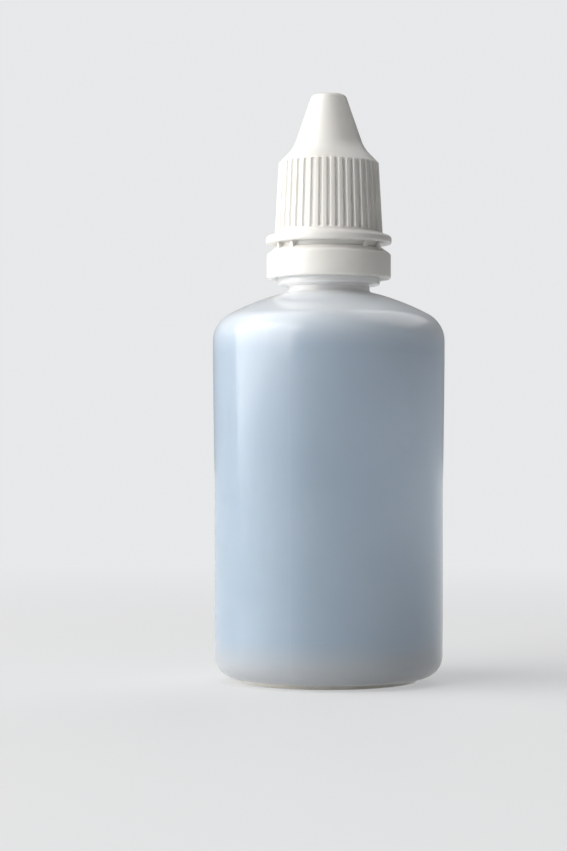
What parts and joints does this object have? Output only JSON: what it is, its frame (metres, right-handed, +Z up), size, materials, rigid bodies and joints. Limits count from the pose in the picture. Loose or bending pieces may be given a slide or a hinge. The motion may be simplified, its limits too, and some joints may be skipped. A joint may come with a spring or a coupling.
{
  "type": "eye drop bottle",
  "caption": "Squeezable round bottle with a domed shoulder, push-in dropper plug, fluted screw cap with a tall nose, and a tamper-evident band hooked under the neck bead.",
  "frame": {"origin": "centre of the foot ring on the ground plane, on the bottle's axis", "axes": "+Z up along the bottle's axis, -Y towards the viewer of the picture, +X to the viewer's right"},
  "size_m": [0.0332, 0.0332, 0.084],
  "materials": {
    "bottle": "translucent milky low-density polyethylene, satin",
    "dropper_tip": "natural low-density polyethylene, satin",
    "cap": "white polypropylene, smooth",
    "tamper_band": "white polypropylene, smooth"
  },
  "bodies": {
    "bottle": {"bottle": "bottle", "dropper_tip": "dropper_tip"},
    "tamper_band": {"tamper_band": "tamper_band"},
    "cap": {"cap": "cap"}
  },
  "joints": [
    {"name": "cap_turn", "type": "hinge", "parent": "bottle", "child": "tamper_band", "pos_m": [0, 0, 0.06], "axis": [0, 0, 1], "range_deg": [0, 2340]},
    {"name": "cap_rise", "type": "slide", "parent": "tamper_band", "child": "cap", "axis": [0, 0, 1], "range_m": [0, 0.0196]}
  ],
  "couplings": [
    {"joint": "cap_rise", "follows": "cap_turn", "m_per_rad": 0.00047746}
  ]
}
